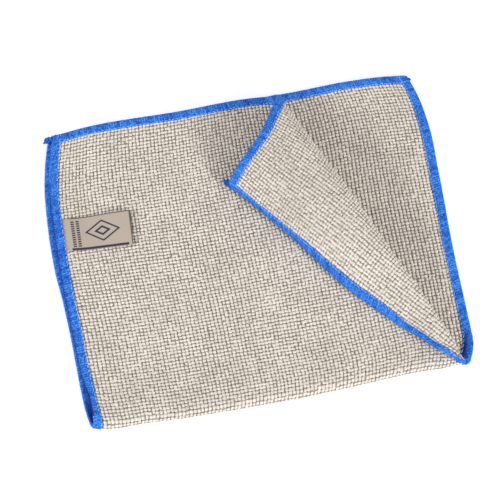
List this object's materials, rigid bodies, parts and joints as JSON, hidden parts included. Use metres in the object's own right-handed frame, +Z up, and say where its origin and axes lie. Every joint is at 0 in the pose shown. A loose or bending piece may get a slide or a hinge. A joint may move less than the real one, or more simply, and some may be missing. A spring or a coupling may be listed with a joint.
{
  "type": "microfibre cleaning cloth",
  "caption": "Pearl-knit microfibre cleaning cloth lying folded in half, one corner of its upper layer turned back, with an overlocked edging all round and a woven label.",
  "frame": {"origin": "middle of the folded cloth's outline, on the surface that it lies on", "axes": "+Z up; the fold runs along X at the -Y side; both far edges and the turned-back corner are at the +Y side; the label is at the -X side"},
  "size_m": [0.3088, 0.2542, 0.0359],
  "materials": {
    "greige_knit": "matt pearl knit of split microfibre, small raised cells",
    "blue_overlock": "bright blue overlock thread, close ribs across the edge",
    "woven_label": "smooth woven satin with a faint sheen"
  },
  "bodies": {
    "root": {"cloth": "greige_knit", "edging_left": "blue_overlock", "edging_right": "blue_overlock", "edging_front_layer": "blue_overlock", "edging_back_layer": "blue_overlock", "label": "woven_label"}
  },
  "joints": []
}
